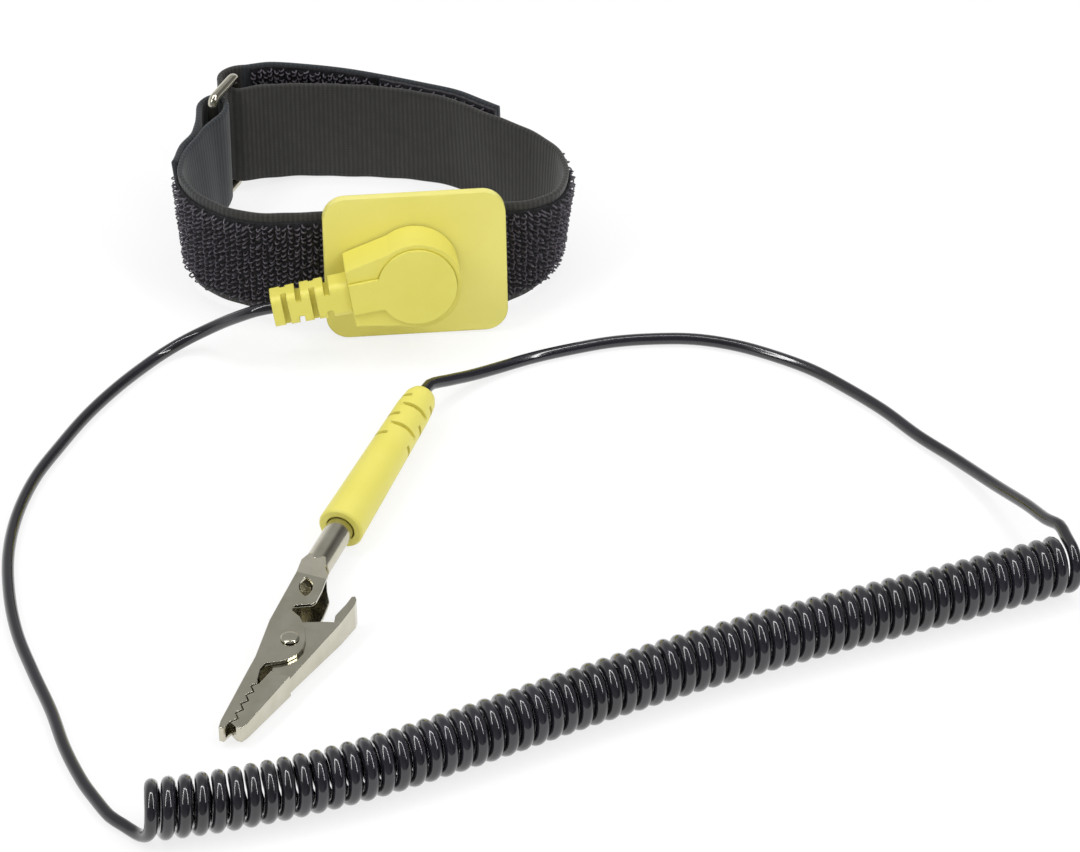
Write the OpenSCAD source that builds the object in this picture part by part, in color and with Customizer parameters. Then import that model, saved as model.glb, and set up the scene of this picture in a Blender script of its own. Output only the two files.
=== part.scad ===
// ESD wrist strap: an elastic band with a stud plate, a snap-on coiled ground cord with a one-megohm
// resistor, a moulded banana plug and a slide-on crocodile clip. Millimetres, +X right, +Y back, +Z up.

/* [Band] */
// Width of the elastic
band_w = 21; // [18:0.5:24]
// Thickness of the woven elastic
elastic_t = 1; // [0.6:0.1:1.2]
// Height of the loop pile
pile_t = 1; // [0.5:0.1:1.2]
// Plain selvedge on each side of the pile
selvedge = 1.6; // [0.5:0.1:4]
// Height of the hook pad
hook_t = 0.7; // [0.4:0.1:1]
// Air between the hooks and the pile that they face
hook_gap = 0.3; // [0.3:0.05:0.6]
// Width of the loop, along its middle line
loop_w = 69.8; // [66:0.2:76]
// Depth of the loop, along its middle line
loop_d = 44.8; // [42:0.2:48]

/* [Seam] */
// Thickness of a stitch above the elastic
stitch_t = 0.25; // [0.1:0.05:0.5]
// Height of one stitch
stitch_h = 1.7; // [1:0.1:2.4]
// Distance from one stitch to the next
stitch_pitch = 2.6; // [2.5:0.1:4]

/* [Ring buckle] */
// Diameter of the ring's wire
ring_d = 1.9; // [1.2:0.1:2.2]
// Air between the band's edges and the ring's crossbars
ring_gap = 0.4; // [0.2:0.1:1]

/* [Stud plate] */
// Width of the yellow plate
plate_w = 33.2; // [28:0.2:36]
// Height of the yellow plate
plate_h = 27.2; // [22:0.2:34]
// Thickness of the yellow plate
plate_t = 2.2; // [1.4:0.1:3]
// Radius of the plate's corners
plate_corner = 4.2; // [1:0.1:8]
// How far the plate leans back
plate_lean = 12; // [8:0.5:16]
// Turn of the plate about the upright
plate_yaw = 5.5; // [3:0.5:8]
// Air behind the plate, for the soft band
soft_gap = 0.2; // [0.1:0.01:0.3]

/* [Wrist contact] */
// Width of the contact plate
contact_w = 24; // [14:0.5:30]
// Height of the contact plate
contact_h = 17; // [12:0.5:20]
// Thickness of the contact plate
contact_t = 0.6; // [0.4:0.1:1.2]
// Radius of the contact plate's corners
contact_corner = 3; // [1:0.1:5]

/* [Snap] */
// Diameter of the stud's head
stud_d = 4; // [3.6:0.1:4.4]
// Diameter of the stud's neck
stud_neck_d = 3.3; // [2.8:0.1:3.5]
// Height of the stud above the plate
stud_h = 3; // [2.6:0.1:3.3]
// Diameter of the stud's foot
stud_foot_d = 7.6; // [6:0.1:9]
// Thickness of the stud's foot
stud_foot_t = 0.4; // [0.3:0.05:0.5]
// Diameter of the rivet's shank
rivet_d = 2; // [1.6:0.1:2.2]
// Diameter of the rivet's countersunk head
rivet_head_d = 4.6; // [4:0.1:8]
// Wire of the socket's spring ring
snap_wire = 0.6; // [0.4:0.05:0.7]
// Running fit round the stud and the ring, on the radius
snap_fit = 0.05; // [0.02:0.01:0.09]

/* [Connector] */
// Diameter of the round end
hub_d = 16.2; // [15.4:0.1:19]
// Height of the rim above the plate's face
rim_h = 9.3; // [9:0.1:11]
// Air between the connector and the plate
hub_gap = 0.45; // [0.42:0.01:0.5]
// Distance from the stud's axis to the tail's end
tail_end = 12.2; // [11.8:0.1:15]
// Width of the tail's end
tail_w = 10.8; // [9:0.1:12]
// Turn of the tail below the plate's left side
tail_turn = 8.8; // [0:0.2:15]
// Diameter of the raised disc
cap_d = 14.4; // [13:0.1:15]
// How far the disc and its ridge stand above the rim
cap_rise = 0.7; // [0.4:0.1:1]
// Depth of the cap's seat below the rim
cap_seat = 1; // [0.6:0.1:1.2]
// Width of the ridge from the disc to the tail's end
ridge_w = 6; // [4:0.1:8]
// Clearance of fixed pieces in their seats
fit = 0.05; // [0.03:0.01:0.08]

/* [Resistor] */
// Diameter of the resistor's body
resistor_d = 2.4; // [1.8:0.1:2.6]
// Length of the resistor's body
resistor_l = 6; // [4.5:0.1:6.3]
// Wire of its leads
lead_d = 0.6; // [0.4:0.05:0.8]

/* [Strain relief] */
// Length of the strain relief
relief_l = 14.2; // [13.8:0.1:18]
// Side of its section at the connector
relief_a = 6.4; // [5.6:0.1:7]
// Side of its section at the cord
relief_b = 5.9; // [5:0.1:6.4]
// Height of its axis above the plate's face
relief_z = 6; // [5.6:0.1:6.4]
// Width of a slot
slot_w = 1; // [0.6:0.1:1.4]
// Depth of a slot
slot_depth = 1.6; // [1:0.1:1.8]
// Distance from one slot to the next
slot_pitch = 2.6; // [2:0.1:2.8]
// Distance from the relief's free end to its first slot
slot_start = 2.4; // [2:0.1:3]

/* [Cord] */
// Diameter of the cord
cord_d = 2.2; // [1.8:0.1:2.4]
// Diameter of a coil turn, along the cord's middle
coil_mean_d = 8; // [7:0.1:9]
// Number of turns in the coil
coil_turns = 60.5; // [50.5:1:61.5]
// How far the first turn is drawn out along the axis
coil_open = 2; // [1:0.5:4]

/* [Boot] */
// Length of the boot
boot_l = 39; // [36:0.5:44]
// Diameter at the lip
boot_d = 8.1; // [7.4:0.1:9]
// Diameter near the cord
boot_end_d = 6.5; // [6:0.1:7]
// Depth of the bore that takes the clip's barrel
boot_bore = 8; // [7:0.1:10]
// Width of a slot in the boot
boot_slot_w = 0.8; // [0.5:0.1:1.2]
// Depth of a slot in the boot
boot_slot_depth = 1.3; // [0.8:0.1:1.5]
// Turn of the boot's slots about its axis
boot_slot_turn = 30; // [0:5:45]

/* [Plug] */
// Diameter over the plug's leaf springs
plug_d = 4; // [3.9:0.01:4.02]
// Diameter of the pin under the springs
pin_d = 3; // [2.6:0.1:3.1]
// How far the pin reaches past the boot's lip
pin_out = 8; // [7:0.5:10]
// Diameter of the plug's collar inside the boot
collar_d = 5.4; // [5:0.1:5.5]
// Length of the collar
collar_l = 8; // [6:0.5:9]

/* [Clip] */
// Outer diameter of the clip's barrel
barrel_d = 4.9; // [4.7:0.1:5]
// Bore of the clip's barrel
barrel_bore = 4.1; // [4.1:0.01:4.2]
// Sheet of the jaws
sheet = 0.55; // [0.4:0.05:0.6]
// Half the clip's width at the neck
clip_half_back = 3.48; // [3.4:0.02:3.7]
// Half the clip's width at the tip
clip_half_front = 1.5; // [1.4:0.1:2]
// Air between the nested sides of the two jaws
nest_gap = 0.12; // [0.1:0.01:0.16]
// Distance from one tooth to the next
tooth_pitch = 2.2; // [2:0.05:2.25]
// Height of a tooth
tooth_h = 0.9; // [0.5:0.1:1]
// Air between the closed teeth
bite_gap = 0.35; // [0.3:0.05:0.6]
// Diameter of the hinge rivet
hinge_d = 1.8; // [1.4:0.1:2]
// Diameter of the hinge rivet's heads
hinge_head_d = 3.2; // [2.6:0.1:3.6]
// Thickness of the hinge rivet's heads
hinge_head_t = 0.4; // [0.3:0.05:0.45]
// Wire of the torsion spring
spring_wire = 0.6; // [0.4:0.05:0.65]

/* [Hidden] */
$fn = 64;
tiny = 0.01;
far = 40;

// ---- Curves ----

function unit(v) = v / norm(v);
function first3(v) = [v[0], v[1], v[2]];
function span(p, q) = norm(first3(q) - first3(p));
function slope(p, i) =
    let (a = p[max(i - 1, 0)], b = p[min(i + 1, len(p) - 1)])
        (b - a) / span(a, b);
function hermite(p, a, q, b, t) =
    p * (2 * t ^ 3 - 3 * t ^ 2 + 1) + a * (t ^ 3 - 2 * t ^ 2 + t)
    + q * (3 * t ^ 2 - 2 * t ^ 3) + b * (t ^ 3 - t ^ 2);
function parts(p, q, step) = max(1, round(span(p, q) / step));
// A smooth curve through the points p, with a new point about every step
function curve(p, step) = [
    for (i = [0 : len(p) - 2])
        let (gap = span(p[i], p[i + 1]), n = parts(p[i], p[i + 1], step))
            for (k = [0 : n - 1]) hermite(p[i], slope(p, i) * gap, p[i + 1], slope(p, i + 1) * gap, k / n),
    p[len(p) - 1]
];
// The place in curve(p, step) of the point p[k]
function place(p, k, step) = k == 0 ? 0 : place(p, k - 1, step) + parts(p[k - 1], p[k], step);
function cut(s, from, to) = [for (i = [from : to]) s[i]];
function reversed(s) = [for (i = [len(s) - 1 : -1 : 0]) s[i]];
// Triangles of a tube of n rings with m points each, and its flat ends. Each four-sided field is cut
// from one corner or from the next, so that faces that lie on each other are cut alike.
function tube_faces(n, m, next = false) = concat(
    [
        for (i = [0 : n - 2], j = [0 : m - 1])
            [i * m + j, i * m + (j + 1) % m, (i + 1) * m + (next ? j : (j + 1) % m)]
    ],
    [
        for (i = [0 : n - 2], j = [0 : m - 1])
            [next ? i * m + (j + 1) % m : i * m + j, (i + 1) * m + (j + 1) % m, (i + 1) * m + j]
    ],
    [for (j = [1 : m - 2]) [0, j + 1, j]],
    [for (j = [1 : m - 2]) [(n - 1) * m, (n - 1) * m + j, (n - 1) * m + j + 1]]
);

// ---- Where the plate and the connector stand ----

plate_at = [8.45, -20.8, plate_h / 2 * cos(plate_lean) + plate_t * sin(plate_lean) + 0.05];
plate_x = [cos(plate_yaw), sin(plate_yaw), 0];
plate_up = [-sin(plate_yaw) * sin(plate_lean), cos(plate_yaw) * sin(plate_lean), cos(plate_lean)];
plate_n = [sin(plate_yaw) * cos(plate_lean), -cos(plate_yaw) * cos(plate_lean), sin(plate_lean)];
stud_x = -0.4;
relief_end = tail_end + relief_l;
stud_at = plate_at + plate_x * stud_x;
tail_x = plate_x * cos(tail_turn) + plate_up * sin(tail_turn);
cord_exit = stud_at - tail_x * relief_end + plate_n * relief_z;

module on_plate() translate(plate_at) rotate([90 - plate_lean, 0, plate_yaw]) children();
module on_stud() on_plate() translate([stud_x, 0, 0]) rotate([0, 0, tail_turn]) children();

// ---- The band's way ----

pile_gap = 0.06;
pile_out = elastic_t / 2 + pile_gap + pile_t;
band_depth = plate_t + soft_gap + pile_out;
band_drop = 0.6;
panel_at = plate_at - plate_n * band_depth - plate_up * band_drop;
panel_half = contact_w / 2 + 0.5;
panel_lift = panel_at.z - band_w / 2 * cos(plate_lean);
function panel(x) = [panel_at.x + plate_x.x * x, panel_at.y + plate_x.y * x, panel_lift, -plate_lean];

// Each point of the band's middle line: x, y, height of the lower edge, lean of the top to the right
// of the way. The way starts at the flap's end, goes round the ring's first bar, down the left side,
// along the front, up the right side and along the back to the ring's second bar.
fold_drawn = [
    [-35.2, -1, 2, -6], [-34, 4.2, 2, -6], [-32.3, 8.4, 2, -5], [-32.1, 11.6, 2, -3], [-32.6, 14.8, 2, 0],
    [-32.3, 18.2, 2, 0], [-30.4, 20.6, 2, 0], [-28.4, 19.9, 2, 0], [-27.5, 17.4, 2, 0], [-28, 14.6, 2, 1],
    [-29.7, 11.6, 2, 3], [-31, 8, 2, 5], [-32.6, 4, 2, 6], [-33.9, -1, 2, 6]
];
left_drawn = [
    [-33.8, -5.5, 2, 4], [-31.9, -10, 1.9, 1], [-28.6, -13.4, 1.8, 0], [-24, -16, 1.7, 0],
    [-19, -17.4, 1.6, -3], [-14, -17.9, 1.6, -8]
];
right_drawn = [
    [25.4, -13.9, 1.5, -4], [29.5, -11.6, 1.3, 3], [32.6, -8.4, 1.1, 7], [34.2, -4, 0.8, 8],
    [34.6, 0.5, 0.5, 6], [33.8, 4.8, 0.3, 4]
];
back_drawn = [
    [30.9, 9.6, 0.1, 2], [26.9, 13.5, 0.1, 0], [21.6, 17.7, 0.1, -3], [18.6, 20, 0.1, -4],
    [14.3, 22.9, 0.1, -4], [8.3, 25, 0.1, -3], [0.6, 26.4, 0.1, -1], [-6.8, 26.9, 0.1, 0],
    [-14.4, 26.4, 0.6, 0], [-21, 24.5, 1.5, 1]
];
turn_drawn = [-25.3, 26.6];
turn_r = 3.9;
tail_drawn = [[-20, 32, 1.7, 0], [-12.4, 32.2, 1, 0], [-5.8, 31.8, 0.4, 0]];
bar_a_drawn = [-30, 16.8];
bar_b_drawn = [-26.2, 25];

// The drawn way is stretched about the panel to the loop's own width and depth
drawn_all = concat(fold_drawn, left_drawn, right_drawn, back_drawn);
drawn_w = max([for (p = drawn_all) p.x]) - min([for (p = drawn_all) p.x]);
drawn_front = min([for (p = left_drawn) p.y]);
drawn_d = max([for (p = drawn_all) p.y]) - drawn_front;
stretch = [loop_w / drawn_w, loop_d / drawn_d];
function at_loop(p) =
    [plate_at.x + (p.x - plate_at.x) * stretch.x, drawn_front + (p.y - drawn_front) * stretch.y];
function stretched(list) = [for (p = list) concat(at_loop(p), [p[2], p[3]])];

ring_lift = 2;
turn_at = at_loop(turn_drawn);
turn_steps = 10;
turn_way = [
    for (k = [0 : turn_steps]) let (a = -90 - 180 * k / turn_steps)
        [turn_at.x + turn_r * cos(a), turn_at.y + turn_r * sin(a), ring_lift, 0]
];
fold_way = stretched(fold_drawn);
back_way = stretched(back_drawn);
panel_way = [for (x = [-panel_half, -panel_half / 2, panel_half / 2, panel_half]) panel(x)];
band_way = concat(fold_way, stretched(left_drawn), panel_way, stretched(right_drawn), back_way, turn_way);
band_step = 2.6;
band = curve(band_way, band_step);

// The tail leaves the turn, runs behind the band and ends on the band's pile
hook_stack = elastic_t + pile_gap + pile_t + hook_gap + pile_gap + hook_t;
tail_start = [turn_at.x + 0.8, turn_at.y + turn_r + 0.1, ring_lift, 0];
function beside(way, i, off) =
    let (d = slope(way, i)) [way[i].x + d.y * off, way[i].y - d.x * off, way[i][2], -way[i][3]];
hooked = [for (i = [5 : -1 : 2]) beside(back_way, i, hook_stack)];
tail_way = concat([tail_start], stretched(tail_drawn), [beside(back_way, 6, hook_stack + 0.9)], hooked);
tail_band = curve(tail_way, band_step);

// A place on a strip: off to the right of the way, up from the middle line
function strip_point(s, i, off, up) =
    let (
        d = s[min(i + 1, len(s) - 1)] - s[max(i - 1, 0)],
        right = unit([d.y, -d.x]),
        lean = s[i][3],
        out = off * cos(lean) + up * sin(lean),
        rise = (band_w / 2 + up) * cos(lean) - off * sin(lean)
    )
    [s[i].x + right.x * out, s[i].y + right.y * out, s[i][2] + rise];
module strip(s, corners, next = false) {
    points = [for (i = [0 : len(s) - 1], c = corners) strip_point(s, i, c[0], c[1])];
    polyhedron(points, tube_faces(len(s), len(corners), next), convexity = 6);
}
pile_half = band_w / 2 - selvedge;
module elastic_strip(s) {
    r = elastic_t / 2;
    h = band_w / 2;
    strip(s, [[-r, -h], [r, -h], [r, -pile_half], [r, pile_half], [r, h], [-r, h]]);
}
module pile_strip(s, height) {
    low = elastic_t / 2 + pile_gap;
    high = low + height;
    strip(s, [[low, -pile_half], [high, -pile_half], [high, pile_half], [low, pile_half]], true);
}
module rounded(w, h, r) {
    square([w - 2 * r, h], center = true);
    square([w, h - 2 * r], center = true);
    for (x = [-1, 1], y = [-1, 1]) translate([x * (w / 2 - r), y * (h / 2 - r)]) circle(r);
}

// ---- Wristband ----

rivet_r = rivet_d / 2;
contact_z = -band_depth - elastic_t / 2 - fit;
rivet_back = contact_z - contact_t;
rivet_sink = contact_t * 0.75;

module rivet_bore(clear) on_stud() translate([0, 0, -far / 2]) cylinder(h = far, r = rivet_r + clear);

module band_elastic() color("#3f3d3c") difference() {
    elastic_strip(band);
    on_stud() translate([0, 0, -far / 4]) cylinder(h = far / 4 - plate_t, r = rivet_r + soft_gap);
}

pile_first = place(band_way, len(fold_drawn) - 1, band_step) + 1;
pile_last = place(band_way, len(band_way) - len(turn_way) - 1, band_step);
module loop_pile() color("#1f1d20") difference() {
    pile_strip(cut(band, pile_first, pile_last), pile_t);
    on_stud() translate([0, 0, -far / 4]) cylinder(h = far / 4 - plate_t, r = rivet_r + soft_gap);
}

stitch_w = 0.5;
stitch_rows = [3, 7];
stitch_count = floor((band_w - stitch_pitch) / stitch_pitch);
module fold_stitching() color("#2a292b") {
    fine = curve(fold_way, stitch_w);
    for (row = stitch_rows, k = [0 : stitch_count - 1]) {
        mid = (k - (stitch_count - 1) / 2) * stitch_pitch;
        near = -elastic_t / 2 - fit;
        low = mid - stitch_h / 2;
        high = mid + stitch_h / 2;
        strip(cut(fine, row, row + 1), [[near - stitch_t, low], [near, low], [near, high], [near - stitch_t, high]]);
    }
}

bar_a = at_loop(bar_a_drawn);
bar_b = at_loop(bar_b_drawn);
ring_low = ring_lift - ring_gap / 4 - ring_d / 2;
ring_high = ring_lift + band_w + ring_gap + ring_d / 2;
ring_bend = ring_d / 2 + 0.5;
module ring_buckle() color("#d9d7d0") {
    way = bar_b - bar_a;
    l = norm(way);
    h = ring_high - ring_low;
    translate([bar_a.x, bar_a.y, ring_low]) rotate([0, 0, atan2(way.y, way.x)]) {
        for (x = [0, l]) translate([x, 0, ring_bend]) cylinder(h = h - 2 * ring_bend, d = ring_d);
        for (z = [0, h]) translate([ring_bend, 0, z]) rotate([0, 90, 0])
            cylinder(h = l - 2 * ring_bend, d = ring_d);
        for (k = [0 : 3])
            translate([k == 0 || k == 3 ? l - ring_bend : ring_bend, 0, k < 2 ? h - ring_bend : ring_bend])
                rotate([90, 0, 0]) rotate([0, 0, 90 * k]) rotate_extrude(angle = 90)
                    translate([ring_bend, 0]) circle(d = ring_d);
    }
}

module stud_plate() color("#e6dc74") difference() {
    on_plate() translate([0, 0, -plate_t]) linear_extrude(plate_t) rounded(plate_w, plate_h, plate_corner);
    rivet_bore(fit);
}

module wrist_contact() color("#c9cbcc") difference() {
    on_plate() translate([0, -band_drop, rivet_back]) linear_extrude(contact_t)
        rounded(contact_w, contact_h, contact_corner);
    on_stud() rotate_extrude() polygon([
        [0, rivet_back - 1], [rivet_head_d / 2 + fit, rivet_back - 1], [rivet_head_d / 2 + fit, rivet_back],
        [rivet_r + fit, rivet_back + rivet_sink], [rivet_r + fit, 0], [0, 0]
    ]);
}

stud_r = stud_d / 2;
stud_neck_r = stud_neck_d / 2;
stud_wall = 0.4;
module snap_stud() color("#d6d6d2") on_stud() rotate_extrude() polygon([
    [rivet_r + fit, 0], [stud_foot_d / 2, 0], [stud_foot_d / 2, stud_foot_t], [stud_neck_r, stud_foot_t],
    [stud_neck_r, stud_h - 1.7], [stud_r, stud_h - 1.3], [stud_r, stud_h - 0.6], [stud_r * 0.6, stud_h],
    [0, stud_h], [0, stud_h - stud_wall], [rivet_r + fit, stud_h - stud_wall]
]);

module stud_rivet() color("#cfcfca") on_stud() rotate_extrude() polygon([
    [0, rivet_back], [rivet_head_d / 2, rivet_back], [rivet_r, rivet_back + rivet_sink],
    [rivet_r, stud_h - stud_wall - tiny], [0, stud_h - stud_wall - tiny]
]);

// ---- Tail ----

module strap_tail() color("#3f3d3c") elastic_strip(tail_band);

pad_first = place(tail_way, 4, band_step);
module tail_pile() color("#1f1d20") pile_strip(cut(tail_band, 1, pad_first - 1), pile_t);
module hook_pad() color("#26262a") pile_strip(cut(tail_band, pad_first, len(tail_band) - 1), hook_t);

// ---- Snap socket ----

ring_z = 1.05;
ring_r = stud_r + snap_fit + snap_wire / 2;
groove_r = ring_r + snap_wire / 2 + snap_fit + 0.05;
groove_half = snap_wire / 2 + snap_fit + 0.05;
socket_low = hub_gap + fit;
socket_h = 4.4;
socket_d = 9.2;
socket_rim_d = 11.2;
socket_rim_h = socket_low + 0.4;
post_r = 0.8;
post_h = 5.6;
head_r = stud_r + 4 * snap_fit;
module snap_ring() color("#b9b9b4") on_stud()
    rotate_extrude() translate([ring_r, ring_z]) circle(d = snap_wire, $fn = 32);

module snap_socket() color("#c8b072") on_stud() rotate_extrude() polygon([
    [head_r, socket_low], [socket_rim_d / 2, socket_low], [socket_rim_d / 2, socket_rim_h],
    [socket_d / 2, socket_rim_h], [socket_d / 2, socket_h], [post_r, socket_h], [post_r, post_h], [0, post_h],
    [0, stud_h + 0.5], [head_r, stud_h + 0.5], [head_r, ring_z + groove_half], [groove_r, ring_z + groove_half],
    [groove_r, ring_z - groove_half], [head_r, ring_z - groove_half]
]);

// ---- Connector ----

hub_r = hub_d / 2;
module teardrop(r, half, end) {
    reach = norm([end, half]);
    touch = atan2(half, -end) - acos(r / reach);
    side = (r - 0.3) * [cos(touch), sin(touch)];
    circle(r);
    polygon([[-end, -half], [side.x, -side.y], side, [-end, half]]);
}
module cap_outline(clear) {
    circle(cap_d / 2 + clear);
    translate([-tail_end - clear, -ridge_w / 2 - clear]) square([tail_end + clear, ridge_w + 2 * clear]);
}
seat_z = rim_h - cap_seat;
chamber_wall = 0.8;
chamber_w = resistor_d + 1;
chamber_z = socket_h + 0.5;
lead_z = post_h + 0.7;
crimp_l = 1.2;
crimp_d = 1.6;
resistor_x = -(tail_end - chamber_wall - crimp_l - 0.5);
module connector_body() color("#e2d76c") on_stud() difference() {
    translate([0, 0, hub_gap]) linear_extrude(rim_h - hub_gap) teardrop(hub_r, tail_w / 2, tail_end);
    translate([0, 0, seat_z - fit]) linear_extrude(far) cap_outline(fit);
    translate([0, 0, 0]) cylinder(h = socket_rim_h + fit, d = socket_rim_d + 2 * fit);
    translate([0, 0, 0]) cylinder(h = socket_h + fit, d = socket_d + 2 * fit);
    translate([0, 0, 0]) cylinder(h = far / 4, r = post_r + fit);
    translate([-tail_end + chamber_wall, -chamber_w / 2, chamber_z])
        cube([tail_end - chamber_wall + 2, chamber_w, far]);
    translate([-tail_end - 1, 0, lead_z]) rotate([0, 90, 0]) cylinder(h = 3, d = lead_d + 2 * fit);
}

module connector_cap() color("#ebe27c") on_stud() translate([0, 0, seat_z])
    linear_extrude(cap_seat + cap_rise) intersection() {
        cap_outline(0);
        translate([-tail_end, -far]) square(2 * far);
    }

module resistor() color("#7fa6b8") on_stud() translate([resistor_x, 0, lead_z]) rotate([0, 90, 0])
    cylinder(h = resistor_l, d = resistor_d);

module resistor_leads() color("#c4c0b8") on_stud() {
    front = resistor_x + resistor_l;
    translate([front, 0, lead_z]) rotate([0, 90, 0]) cylinder(h = -front + lead_d / 2, d = lead_d);
    translate([0, 0, post_h]) cylinder(h = lead_z - post_h, d = lead_d);
    translate([-tail_end, 0, lead_z]) rotate([0, 90, 0]) cylinder(h = resistor_x + tail_end, d = lead_d);
    translate([chamber_wall - tail_end + 0.1, 0, lead_z]) rotate([0, 90, 0])
        cylinder(h = crimp_l, d = crimp_d);
}

relief_corner = 1.3;
module relief_section(side) translate([0, 0, relief_z]) rotate([0, 90, 0]) linear_extrude(tiny)
    rounded(side, side, relief_corner, $fn = 32);
module strain_relief() color("#e4d96f") on_stud() difference() {
    hull() {
        translate([-tail_end - tiny, 0, 0]) relief_section(relief_a);
        translate([-relief_end, 0, 0]) relief_section(relief_b);
    }
    for (k = [0 : 3]) {
        x = -relief_end + slot_start + k * slot_pitch;
        side = relief_b + (relief_a - relief_b) * (x + relief_end) / relief_l;
        core = side - 2 * slot_depth;
        translate([x, 0, relief_z]) rotate([k % 2 * 90, 0, 0]) for (turn = [0, 180])
            rotate([turn, 0, 0]) translate([-slot_w / 2, -far / 2, core / 2]) cube([slot_w, far, far]);
    }
}

// ---- Cord ----

cord_r = cord_d / 2;
module tube(way, sides) {
    n = len(way);
    points = [
        for (i = [0 : n - 1])
            let (
                t = unit(way[min(i + 1, n - 1)] - way[max(i - 1, 0)]),
                right = unit(cross(t, [0, 0, 1])),
                up = cross(right, t)
            )
            for (k = [0 : sides - 1])
                way[i] + cord_r * (right * cos(360 * k / sides) + up * sin(360 * k / sides))
    ];
    polyhedron(points, tube_faces(n, sides), convexity = 6);
}

lead_step = 5;
// The strap's lead: from the strain relief down to the floor, round to the left end of the coil
strap_route = [
    [-23.1, -29.8, 9], [-26.3, -28.6, 6.7], [-29.7, -28, 4.4], [-33, -28.4, 2.7], [-36.3, -30.1, 1.6],
    [-39.5, -33.1, 1.1], [-44.8, -40.3, 1.1], [-49.8, -48.6, 1.1], [-54, -57.6, 1.1], [-57.8, -67, 1.1],
    [-60.1, -77.4, 1.1], [-60.7, -88, 1.1], [-59.6, -99.1, 1.1], [-57.4, -109.2, 1.1], [-53.9, -119.2, 1.1],
    [-50.2, -128.8, 1.1], [-47.2, -138.2, 1.1], [-43.8, -146.2, 1.1], [-41.2, -150.8, 1.1]
];
// The coil's axis, from its left end to its right end
coil_axis = [
    [-34.8, -158.2], [-18.3, -154.8], [0.9, -148.4], [20, -139.4], [40, -128.9], [60, -119.4], [80, -111.1],
    [100, -103.5], [121.4, -95]
];
// The clip's lead: from the top of the coil's right end, down to the floor and round to the boot
clip_route = [
    [118, -86.6, 7.9], [115.2, -80.6, 6.2], [110.5, -71.9, 3.6], [103.7, -61.4, 1.6], [98.2, -54.8, 1.1],
    [92.6, -47.6, 1.1], [86.6, -41.3, 1.1], [80.3, -35.6, 1.1], [73.6, -31.4, 1.1], [66.5, -28.1, 1.1],
    [59.2, -26.3, 1.1], [51.7, -26.2, 1.1], [44.2, -27.1, 1.1], [36.9, -29.2, 1.1], [29.6, -31.9, 1.1],
    [22.6, -35.8, 1.5], [18.4, -38.9, 2.4], [14.8, -41.9, 3.7]
];
floor_gap = 0.07;
function on_floor(route) = [for (p = route) [p.x, p.y, p.z + cord_r - 1.1 + floor_gap]];

// Places on the coil's axis by the length along it
coil_z = coil_mean_d / 2 + cord_r + floor_gap;
axis_fine = curve([for (p = coil_axis) [p.x, p.y, coil_z]], 3);
function lengths(p, i = 0, sum = 0) =
    i == len(p) ? [] : concat([sum], lengths(p, i + 1, sum + (i + 1 < len(p) ? norm(p[i + 1] - p[i]) : 0)));
axis_len = lengths(axis_fine);
axis_total = axis_len[len(axis_len) - 1];
coil_pitch = (axis_total - coil_open) / coil_turns;
function seat(s, low = 0, high = len(axis_len) - 1) =
    let (mid = floor((low + high) / 2))
        high - low <= 1 ? low : axis_len[mid] <= s ? seat(s, mid, high) : seat(s, low, mid);
function axis_point(s) =
    let (i = seat(s), share = (s - axis_len[i]) / (axis_len[i + 1] - axis_len[i]))
        axis_fine[i] + (axis_fine[i + 1] - axis_fine[i]) * share;
function axis_way(s) = unit(axis_point(min(s + 1, axis_total)) - axis_point(max(s - 1, 0)));
// The first part of the coil is drawn out, then the turns lie at an even pitch
open_turns = 0.25;
function coil_s(t) = coil_open + coil_pitch * t - coil_open * max(0, 1 - t / open_turns) ^ 2;
function coil_point(t) =
    let (s = coil_s(t), way = axis_way(s), right = cross(way, [0, 0, 1]))
    axis_point(s) + coil_mean_d / 2 * (right * sin(360 * t) - [0, 0, 1] * cos(360 * t));
rings_per_turn = 8;
coil_n = round(coil_turns * rings_per_turn);
coil_turning = [for (i = [0 : coil_n]) coil_point(i / rings_per_turn)];
ease = 0.002;
coil_in = unit(coil_point(ease) - coil_point(0));
coil_out = unit(coil_point(coil_turns) - coil_point(coil_turns - ease));
coil_way = concat(
    [coil_turning[0] - coil_in * cord_d], coil_turning, [coil_turning[coil_n] + coil_out * cord_d]
);
coil_start = coil_way[0];
coil_end = coil_way[len(coil_way) - 1];
// Least distance between the cord's surfaces on neighbouring turns
coil_gap = min([
    for (i = [0 : coil_n - 6]) for (j = [i + 6 : min(coil_n, i + 10)])
        norm(coil_turning[i] - coil_turning[j])
]) - cord_d;
echo(coil_pitch = coil_pitch, coil_gap = coil_gap);

// A curve whose ends run straight: each end point is followed by one a short way along its direction
end_run = 3;
function lead_way(a, a_dir, route, b, b_dir) =
    curve(concat([a, a + a_dir * end_run], on_floor(route), [b - b_dir * end_run, b]), lead_step);

plug_at = [-3.5, -84.65, boot_d / 2 + floor_gap];
plug_heading = -110.5;
plug_dip = 1.5;
plug_way = [cos(plug_heading) * cos(plug_dip), sin(plug_heading) * cos(plug_dip), -sin(plug_dip)];
module on_plug() translate(plug_at) rotate([0, plug_dip, plug_heading]) children();
boot_tail = plug_at - plug_way * boot_l;

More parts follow.
